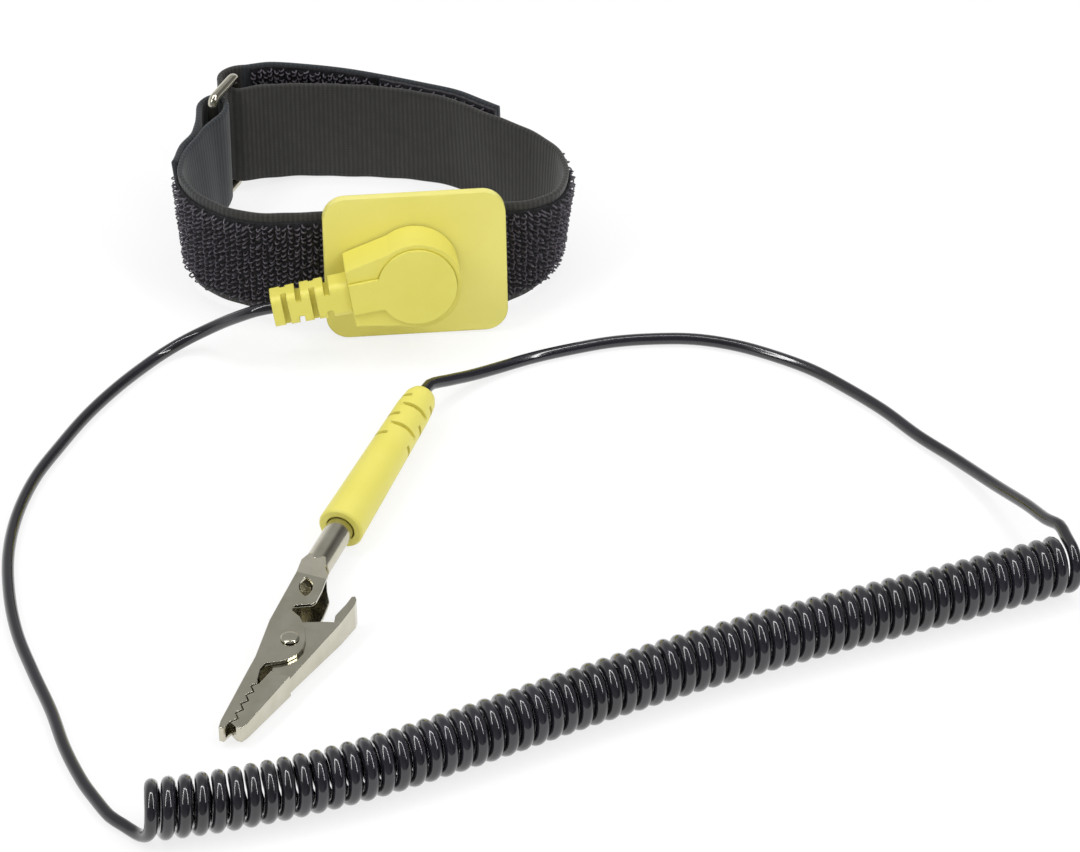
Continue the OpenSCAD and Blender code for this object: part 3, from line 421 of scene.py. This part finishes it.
# From the strain relief down to the floor, round to the left end of the coil
STRAP_ROUTE = [
    (-23.1, -29.8, 9), (-26.3, -28.6, 6.7), (-29.7, -28, 4.4), (-33, -28.4, 2.7), (-36.3, -30.1, 1.6),
    (-39.5, -33.1, 1.1), (-44.8, -40.3, 1.1), (-49.8, -48.6, 1.1), (-54, -57.6, 1.1), (-57.8, -67, 1.1),
    (-60.1, -77.4, 1.1), (-60.7, -88, 1.1), (-59.6, -99.1, 1.1), (-57.4, -109.2, 1.1), (-53.9, -119.2, 1.1),
    (-50.2, -128.8, 1.1), (-47.2, -138.2, 1.1), (-43.8, -146.2, 1.1), (-41.2, -150.8, 1.1),
]
COIL_AXIS = [
    (-34.8, -158.2), (-18.3, -154.8), (0.9, -148.4), (20, -139.4), (40, -128.9), (60, -119.4), (80, -111.1),
    (100, -103.5), (121.4, -95),
]
# From the top of the coil's right end down to the floor and round to the boot
CLIP_ROUTE = [
    (118, -86.6, 7.9), (115.2, -80.6, 6.2), (110.5, -71.9, 3.6), (103.7, -61.4, 1.6), (98.2, -54.8, 1.1),
    (92.6, -47.6, 1.1), (86.6, -41.3, 1.1), (80.3, -35.6, 1.1), (73.6, -31.4, 1.1), (66.5, -28.1, 1.1),
    (59.2, -26.3, 1.1), (51.7, -26.2, 1.1), (44.2, -27.1, 1.1), (36.9, -29.2, 1.1), (29.6, -31.9, 1.1),
    (22.6, -35.8, 1.5), (18.4, -38.9, 2.4), (14.8, -41.9, 3.7),
]
COIL_D, COIL_TURNS, COIL_OPEN, OPEN_TURNS = 8.0, 60.5, 2.0, 0.25
COIL_FULLER = 0.12
RINGS_PER_TURN, CORD_SIDES, LEAD_STEP, AXIS_STEP = 28, 14, 1.3, 3
STRAIGHT, INSIDE = 3, 1.5
A_LITTLE = 0.002

axis = curve([(x, y, COIL_D / 2 + CORD_R + FLOOR_GAP) for x, y in COIL_AXIS], AXIS_STEP)
axis_lengths = lengths(axis)
axis_total = axis_lengths[-1]
coil_pitch = (axis_total - COIL_OPEN) / COIL_TURNS


def axis_point(s):
    i = max(k for k in range(len(axis) - 1) if axis_lengths[k] <= s or k == 0)
    return axis[i] + (axis[i + 1] - axis[i]) * (s - axis_lengths[i]) / (axis_lengths[i + 1] - axis_lengths[i])


def coil_point(t):
    """The helix after t turns. The first part is drawn out, then the turns lie at an even pitch."""
    s = COIL_OPEN + coil_pitch * t - COIL_OPEN * max(0, 1 - t / OPEN_TURNS) ** 2
    way = (axis_point(min(s + 1, axis_total)) - axis_point(max(s - 1, 0))).normalized()
    right = way.cross(Vector((0, 0, 1)))
    a = 2 * math.pi * t
    return axis_point(s) + COIL_D / 2 * (right * math.sin(a) - Vector((0, 0, 1)) * math.cos(a))


def lead(start, start_way, route, end, end_way):
    """A lead that leaves and arrives straight for a little way at each end."""
    on_floor = [(x, y, z + FLOOR_GAP) for x, y, z in route]
    leaving = [start, start + start_way * STRAIGHT]
    arriving = [end - end_way * STRAIGHT, end]
    return curve(leaving + on_floor + arriving, LEAD_STEP)


tail_x = (ON_STUD.to_3x3() @ Vector((1, 0, 0))).normalized()
plug_way = (ON_PLUG.to_3x3() @ Vector((1, 0, 0))).normalized()
cord_exit = ON_STUD @ Vector((-TAIL_END - RELIEF_L, 0, RELIEF_Z))
boot_tail = ON_PLUG @ Vector((-BOOT_L, 0, 0))
coil_in = (coil_point(A_LITTLE) - coil_point(0)).normalized()
coil_out = (coil_point(COIL_TURNS) - coil_point(COIL_TURNS - A_LITTLE)).normalized()
turns = round(COIL_TURNS * RINGS_PER_TURN)
coil_way = [coil_point(i / RINGS_PER_TURN) for i in range(turns + 1)]
coil_start = coil_way[0] - coil_in * CORD_D
coil_end = coil_way[-1] + coil_out * CORD_D
cord_way = (
    lead(cord_exit, -tail_x, STRAP_ROUTE, coil_start, coil_in)
    + coil_way
    + lead(coil_end, coil_out, CLIP_ROUTE, boot_tail, plug_way)
)
# The cord runs on a little inside the strain relief and the boot
inside = [cord_exit + tail_x * INSIDE] + cord_way + [boot_tail + plug_way * INSIDE]
coil_at = inside.index(coil_way[0])


def cord_radius(i):
    """The coil's cord is drawn a little fuller than the leads', which narrows the gaps between its turns."""
    into = min(i - coil_at, coil_at + len(coil_way) - 1 - i) / RINGS_PER_TURN
    return CORD_R + COIL_FULLER * max(0, min(1, into))


cord_points = tube(inside, cord_radius, CORD_SIDES)
cord = new_piece("ground_cord", cord_points, skin(len(inside), CORD_SIDES), JACKET, "cord")
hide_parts("strap_lead", "coil", "clip_lead")

# ---- The band's way: x, y, height of the lower edge, lean of the top to the right of the way ----

BAND_W, ELASTIC_T, PILE_T, SELVEDGE, PILE_GAP = 21.0, 1.0, 1.0, 1.6, 0.06
HOOK_T, HOOK_GAP, BAND_DROP, SOFT_GAP = 0.7, 0.3, 0.6, 0.2
FOLD = [
    (-35.2, -1, 2, -6), (-34, 4.2, 2, -6), (-32.3, 8.4, 2, -5), (-32.1, 11.6, 2, -3), (-32.6, 14.8, 2, 0),
    (-32.3, 18.2, 2, 0), (-30.4, 20.6, 2, 0), (-28.4, 19.9, 2, 0), (-27.5, 17.4, 2, 0), (-28, 14.6, 2, 1),
    (-29.7, 11.6, 2, 3), (-31, 8, 2, 5), (-32.6, 4, 2, 6), (-33.9, -1, 2, 6),
]
LEFT = [
    (-33.8, -5.5, 2, 4), (-31.9, -10, 1.9, 1), (-28.6, -13.4, 1.8, 0), (-24, -16, 1.7, 0),
    (-19, -17.4, 1.6, -3), (-14, -17.9, 1.6, -8),
]
RIGHT = [
    (25.4, -13.9, 1.5, -4), (29.5, -11.6, 1.3, 3), (32.6, -8.4, 1.1, 7), (34.2, -4, 0.8, 8),
    (34.6, 0.5, 0.5, 6), (33.8, 4.8, 0.3, 4),
]
BACK = [
    (30.9, 9.6, 0.1, 2), (26.9, 13.5, 0.1, 0), (21.6, 17.7, 0.1, -3), (18.6, 20, 0.1, -4),
    (14.3, 22.9, 0.1, -4), (8.3, 25, 0.1, -3), (0.6, 26.4, 0.1, -1), (-6.8, 26.9, 0.1, 0),
    (-14.4, 26.4, 0.6, 0), (-21, 24.5, 1.5, 1),
]
TURN_AT, TURN_R, RING_LIFT = Vector((-25.3, 26.6)), 3.9, 2.0
TAIL = [(-20, 32, 1.7, 0), (-12.4, 32.2, 1, 0), (-5.8, 31.8, 0.4, 0)]

plate_x = (ON_PLATE.to_3x3() @ Vector((1, 0, 0))).normalized()
plate_up = (ON_PLATE.to_3x3() @ Vector((0, 1, 0))).normalized()
plate_n = (ON_PLATE.to_3x3() @ Vector((0, 0, 1))).normalized()
pile_out = ELASTIC_T / 2 + PILE_GAP + PILE_T
panel_at = PLATE_AT - plate_n * (PLATE_T + SOFT_GAP + pile_out) - plate_up * BAND_DROP
panel_lift = panel_at.z - BAND_W / 2 * math.cos(LEAN)
PANEL = [
    (panel_at.x + plate_x.x * x, panel_at.y + plate_x.y * x, panel_lift, -12)
    for x in (-12.5, -6.25, 6.25, 12.5)
]
# Half round the ring's second bar, in steps of 18 degrees
TURN = [
    (TURN_AT.x + TURN_R * math.cos(a), TURN_AT.y + TURN_R * math.sin(a), RING_LIFT, 0)
    for a in (math.radians(-90 - 18 * k) for k in range(11))
]
BAND = FOLD + LEFT + PANEL + RIGHT + BACK + TURN
STATION = 0.8


def beside(way, i, off):
    """A point of a way that runs back along this one, off to its right."""
    way = [Vector(p) for p in way]
    d = slope(way, i)
    return (way[i].x + d.y * off, way[i].y - d.x * off, way[i].z, -way[i].w)


# The tail comes down from the ring and lies along the band's back, its hooks on the pile
hook_stack = ELASTIC_T + PILE_GAP + PILE_T + HOOK_GAP + PILE_GAP + HOOK_T
TAIL_WAY = (
    [(TURN_AT.x, TURN_AT.y + TURN_R, RING_LIFT, 0)]
    + [(TURN_AT.x + 0.8, TURN_AT.y + TURN_R + 0.1, RING_LIFT, 0)]
    + TAIL + [beside(BACK, 6, hook_stack + 0.9)] + [beside(BACK, i, hook_stack) for i in (5, 4, 3, 2)]
)
band = curve(BAND, STATION)
tail = curve(TAIL_WAY, STATION)


def strip_point(way, i, off, up):
    """A place off to the right of the way and up from the middle line."""
    here = way[i]
    d = way[min(i + 1, len(way) - 1)] - way[max(i - 1, 0)]
    right = Vector((d.y, -d.x)).normalized()
    lean = math.radians(here.w)
    out = off * math.cos(lean) + up * math.sin(lean)
    rise = (BAND_W / 2 + up) * math.cos(lean) - off * math.sin(lean)
    return Vector((here.x + right.x * out, here.y + right.y * out, here.z + rise))


def flat_outline(low, high, half, round_r, step):
    """Outline of a flat strip with rounded edges, as (off, up), from low to high and half to each side."""
    rise = half - round_r
    n = max(2, round(2 * rise / step))
    ups = [-rise + 2 * rise * k / n for k in range(n + 1)]
    mid, r = (low + high) / 2, (high - low) / 2
    bows = [math.pi * k / 6 for k in range(1, 6)]
    top = [(mid - r * math.cos(a), rise + round_r * math.sin(a)) for a in bows]
    bottom = [(mid + r * math.cos(a), -rise - round_r * math.sin(a)) for a in bows]
    return [(low, u) for u in ups] + top + [(high, u) for u in reversed(ups)] + bottom


def strip(name, way, outline, finish, body=None, ripple=None):
    """A strip with that outline along way. ripple(u, up, off) moves its points out."""
    run = lengths(way)
    points, cloth = [], []
    for i in range(len(way)):
        for off, up in outline:
            points.append(strip_point(way, i, off + (ripple(run[i], up, off) if ripple else 0), up))
            cloth.append((run[i], up))
    return new_piece(name, points, skin(len(way), len(outline)), finish, body, cloth)


def slack(u, up, off):
    """The elastic's edges wave a little."""
    return 0.07 * math.sin(u * 0.9) * (abs(up) / (BAND_W / 2)) ** 3


elastic_outline = flat_outline(-ELASTIC_T / 2, ELASTIC_T / 2, BAND_W / 2, round_r=0.4, step=0.9)
wrist_elastic = strip("wrist_elastic", band, elastic_outline, ELASTIC, "wristband", slack)
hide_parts("band_elastic")
tail_elastic = strip("tail_elastic", tail, elastic_outline, TAIL_ELASTIC)
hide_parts("strap_tail")

# ---- Loop pile ----

PILE_HALF = BAND_W / 2 - SELVEDGE
# On the tail the pile and the hooks reach nearly to the edges
TAIL_HALF = BAND_W / 2 - 0.25
BACKING_T = 0.45
dice = random.Random(7)


def lumps(u, up, off):
    """The backing's outside is lumpy; its inside is flat."""
    if off < ELASTIC_T / 2 + PILE_GAP + 0.2:
        return 0.0
    return 0.07 * math.sin(u * 5.3 + math.sin(up * 2.1)) * math.sin(up * 5.9)


def loops(way, first, last, half, low, height):
    """Small loops of yarn in staggered rows, on a ground whose outside is low from the middle of the strip.
    height(i, v) gives their height at a station and at v up from the middle line."""
    points, faces = [], []
    run = lengths(way)
    pitch_u, pitch_v, sides, arc = 1.15, 1.05, 4, 6
    end_margin, low_margin, high_margin = 0.4, 0.35, 0.3
    u = run[first] + end_margin
    row = 0
    i = first
    while u < run[last] - end_margin:
        while run[i + 1] < u:
            i += 1
        share = (u - run[i]) / (run[i + 1] - run[i])
        v = -half + low_margin + (row % 2) * pitch_v / 2
        while v < half - high_margin and height(i, v) > 0:
            tall = height(i, v)
            up = v + dice.uniform(-0.15, 0.15)
            base = strip_point(way, i, low, up).lerp(strip_point(way, i + 1, low, up), share)
            out = (strip_point(way, i, low + 1, up) - strip_point(way, i, low, up)).normalized()
            along = (strip_point(way, i + 1, low, up) - strip_point(way, i, low, up)).normalized()
            across = out.cross(along)
            turn = (1 if row % 2 else -1) * math.radians(dice.uniform(10, 50))
            side = along * math.cos(turn) + across * math.sin(turn)
            lie = (out + across * dice.uniform(-0.25, 0.3) + along * dice.uniform(-0.25, 0.25)).normalized()
            wide, high = dice.uniform(0.34, 0.46), tall * dice.uniform(0.75, 1.0)
            base += along * dice.uniform(-0.15, 0.15)
            yarn = min(0.18, tall * 0.4) * dice.uniform(0.75, 1.0)
            start = len(points)
            flat = side.cross(lie).normalized()
            for k in range(arc + 1):
                a = math.pi * k / arc
                p = base + side * wide * math.cos(a) + lie * high * math.sin(a)
                outwards = (side * math.cos(a) + lie * math.sin(a)).normalized()
                for j in range(sides):
                    b = 2 * math.pi * j / sides
                    points.append(p + yarn * (outwards * math.cos(b) + flat * math.sin(b)))
            for k in range(arc):
                for j in range(sides):
                    faces.append((
                        start + k * sides + j, start + k * sides + (j + 1) % sides,
                        start + (k + 1) * sides + (j + 1) % sides, start + (k + 1) * sides + j,
                    ))
            v += pitch_v
        u += pitch_u
        row += 1
    return points, faces


backing_low = ELASTIC_T / 2 + PILE_GAP
backing_outline = flat_outline(backing_low, backing_low + BACKING_T, PILE_HALF, round_r=0.2, step=0.5)
pile_first = place(BAND, len(FOLD) - 1, STATION) + 2
pile_last = place(BAND, len(BAND) - len(TURN) - 1, STATION)
panel_from = len(FOLD) + len(LEFT)
back_from = panel_from + len(PANEL) + len(RIGHT)
plate_first = place(BAND, panel_from, STATION)
plate_last = place(BAND, panel_from + len(PANEL) - 1, STATION)
hooked_first = place(BAND, back_from + 2, STATION)
hooked_last = place(BAND, back_from + 6, STATION)
FREE_LOOP, TAIL_LOOP, FREE_HOOK, PRESSED = 1.05, 0.8, 0.7, 0.3
NEAR_PLATE, NEAR_HOOKS = 12, 2


def under_plate(i):
    """Whether the yellow plate covers the band there. Only the band's front is looked at."""
    spot = ON_PLATE.inverted() @ strip_point(band, i, pile_out, 0)
    return abs(spot.x) < PLATE_W / 2 - 0.1 and plate_first - NEAR_PLATE < i < plate_last + NEAR_PLATE


def band_pile_height(i, v):
    """No loops under the plate, pressed ones under the hooks and free ones elsewhere."""
    if under_plate(i):
        return 0.0
    return PRESSED if hooked_first - NEAR_HOOKS <= i <= hooked_last + NEAR_HOOKS else FREE_LOOP


def hook_height(i, v):
    """The hooks stand free above the band's pile and are pressed flat on it."""
    return FREE_HOOK if v > PILE_HALF - 0.2 else PRESSED


backing = strip("pile_backing", band[pile_first : pile_last + 1], backing_outline, GROUND, "wristband", lumps)
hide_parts("loop_pile")
points, faces = loops(band, pile_first, pile_last, PILE_HALF, backing_low + BACKING_T, band_pile_height)
band_loops = new_piece("pile_loops", points, faces, PILE, "wristband")
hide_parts("loop_pile")

pile_from = 2
pad_first = place(TAIL_WAY, 2 + len(TAIL), STATION)
tail_outline = flat_outline(backing_low, backing_low + BACKING_T, TAIL_HALF, round_r=0.2, step=0.5)
tail_backing = strip("tail_pile_backing", tail[pile_from:pad_first], tail_outline, GROUND, None, lumps)
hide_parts("tail_pile")
points, faces = loops(
    tail, pile_from, pad_first - 1, TAIL_HALF, backing_low + BACKING_T, lambda i, v: TAIL_LOOP
)
tail_loops = new_piece("tail_pile_loops", points, faces, PILE)
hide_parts("tail_pile")
hook_outline = flat_outline(backing_low, backing_low + HOOK_T, TAIL_HALF, round_r=0.2, step=0.5)
hook_strip = strip("hook_strip", tail[pad_first:], hook_outline, HOOKS, None, lumps)
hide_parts("hook_pad")
points, faces = loops(tail, pad_first, len(tail) - 2, TAIL_HALF, backing_low + HOOK_T, hook_height)
hooks = new_piece("tail_hooks", points, faces, PILE)
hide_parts("hook_pad")

# The tail bends next to the ring, where it leaves the band's turn. Its pieces belong to no body, and their
# places are baked into their meshes.
for soft in (tail_elastic, tail_backing, tail_loops, hook_strip, hooks):
    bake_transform(soft)

# ---- Stitches that close the flap ----

STITCH_ROWS, STITCHES, STITCH_PITCH = (3, 7), 7, 2.6
STITCH_L, STITCH_BOW, STITCH_SUNK, THREAD_R, THREAD_SIDES = 1.8, 0.3, 0.12, 0.17, 8
fold = curve(FOLD, step=0.5)
points, faces = [], []
for station in STITCH_ROWS:
    for k in range(STITCHES):
        low_end = (k - STITCHES // 2) * STITCH_PITCH - STITCH_L / 2
        sunk = -ELASTIC_T / 2 + STITCH_SUNK
        bow = [
            strip_point(
                fold, station, sunk - STITCH_BOW * math.sin(math.pi * t / 8), low_end + STITCH_L * t / 8
            )
            for t in range(9)
        ]
        start = len(points)
        points += tube(bow, lambda t: THREAD_R, THREAD_SIDES)
        faces += [tuple(start + i for i in face) for face in skin(len(bow), THREAD_SIDES)]
stitches = new_piece("flap_stitches", points, faces, THREAD, "wristband")
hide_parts("fold_stitching")

# ---- Floor and light ----

FLOOR_Z, FLOOR_HALF, PLAIN_WHITE = -0.02, 3000, 0.78
# In metres, what the lamps face
AIM = Vector((0.02, -0.06, 0))


def background_rays(tree, seen):
    """1 for rays that show the background: from the camera, off metal and gloss, and through clear things."""
    mirrored = add(
        tree, "ShaderNodeMath", {0: seen.outputs["Is Glossy Ray"], 1: seen.outputs["Is Transmission Ray"]},
        operation="MAXIMUM",
    )
    either = {0: seen.outputs["Is Camera Ray"], 1: mirrored.outputs[0]}
    return add(tree, "ShaderNodeMath", either, operation="MAXIMUM").outputs[0]


paper = bpy.data.materials.new("white_paper")
paper.use_nodes = True
tree = paper.node_tree
surface = tree.nodes["Principled BSDF"]
surface.inputs["Base Color"].default_value = colour("#ffffff")
surface.inputs["Roughness"].default_value = 0.9
seen = add(tree, "ShaderNodeLightPath")
# To those rays the paper is mostly plain white; the rest of it is lit and takes the object's shadow
share = add(tree, "ShaderNodeMath", {0: background_rays(tree, seen), 1: PLAIN_WHITE}, operation="MULTIPLY")
glow = add(tree, "ShaderNodeEmission", {"Color": colour("#ffffff"), "Strength": 1.0})
both = add(tree, "ShaderNodeMixShader", {0: share.outputs[0], 1: surface.outputs[0], 2: glow.outputs[0]})
tree.links.new(both.outputs[0], tree.nodes["Material Output"].inputs["Surface"])
corners = [(x * FLOOR_HALF, y * FLOOR_HALF, FLOOR_Z) for x, y in ((-1, -1), (1, -1), (1, 1), (-1, 1))]
floor = new_piece("floor", corners, [(0, 1, 2, 3)], paper)


def lamp(name, at, size, power):
    """A flat lamp of that width and height, in metres and watts, that faces the object."""
    light = bpy.data.lights.new(name, "AREA")
    light.shape = "RECTANGLE"
    light.size, light.size_y = size
    light.energy = power
    obj = bpy.data.objects.new(name, light)
    obj.location = at
    obj.rotation_euler = (AIM - Vector(at)).to_track_quat("-Z", "Y").to_euler()
    bpy.context.scene.collection.objects.link(obj)
    return obj


def strip_lamp(name, start, end, width, power):
    """A lamp along the line from start to end that faces the object."""
    start, end = Vector(start), Vector(end)
    mid = (start + end) / 2
    light = lamp(name, mid, (gap(start, end), width), power)
    back = (mid - AIM).normalized()
    along = (end - start).normalized()
    along = (along - back * along.dot(back)).normalized()
    light.rotation_euler = Matrix((along, back.cross(along), back)).transposed().to_euler()


# Three strips in an arch over the object, so that every turn of the coil mirrors an arch too
lamp("over", (0.02, 0.12, 0.95), (0.56, 0.05), 1.3)
for side in (-1, 1):
    strip_lamp("side", (0.02 + side * 0.28, 0.09, 0.94), (0.02 + side * 0.55, -0.55, 0.42), 0.05, 2.2)

# The room that gloss and metal mirror: white round the horizon, with a plain grey ceiling, and darker to the
# right and in front. Matt surfaces are lit evenly instead, and the camera sees white.
EVEN_LIGHT = 0.57
world = bpy.data.worlds.new("studio")
bpy.context.scene.world = world
world.use_nodes = True
tree = world.node_tree
seen = add(tree, "ShaderNodeLightPath")
ray = add(tree, "ShaderNodeTexCoord").outputs["Generated"]
way = add(tree, "ShaderNodeSeparateXYZ", {"Vector": ray}).outputs
# Along each axis, from where to where the room's light changes, and from what to what
ceiling, right, front = [
    add(
        tree, "ShaderNodeMapRange",
        {"Value": way[name], "From Min": start, "From Max": end, "To Min": before, "To Max": after},
    ).outputs[0]
    for name, start, end, before, after in (
        ("Z", 0.05, 0.55, 1.0, 0.42), ("X", 0.3, 0.6, 1.0, 0.3), ("Y", -0.5, -0.2, 0.3, 1.0),
    )
]
sides = add(tree, "ShaderNodeMath", {0: right, 1: front}, operation="MULTIPLY")
room = add(tree, "ShaderNodeMath", {0: ceiling, 1: sides.outputs[0]}, operation="MULTIPLY")
shown = add(tree, "ShaderNodeMix", {0: background_rays(tree, seen), 2: EVEN_LIGHT, 3: room.outputs[0]})
level = add(
    tree, "ShaderNodeMath", {0: shown.outputs[0], 1: seen.outputs["Is Camera Ray"]}, operation="MAXIMUM"
)
tree.links.new(level.outputs[0], tree.nodes["Background"].inputs["Strength"])
tree.nodes["Background"].inputs["Color"].default_value = colour("#ffffff")

bpy.context.scene.view_settings.view_transform = "Standard"
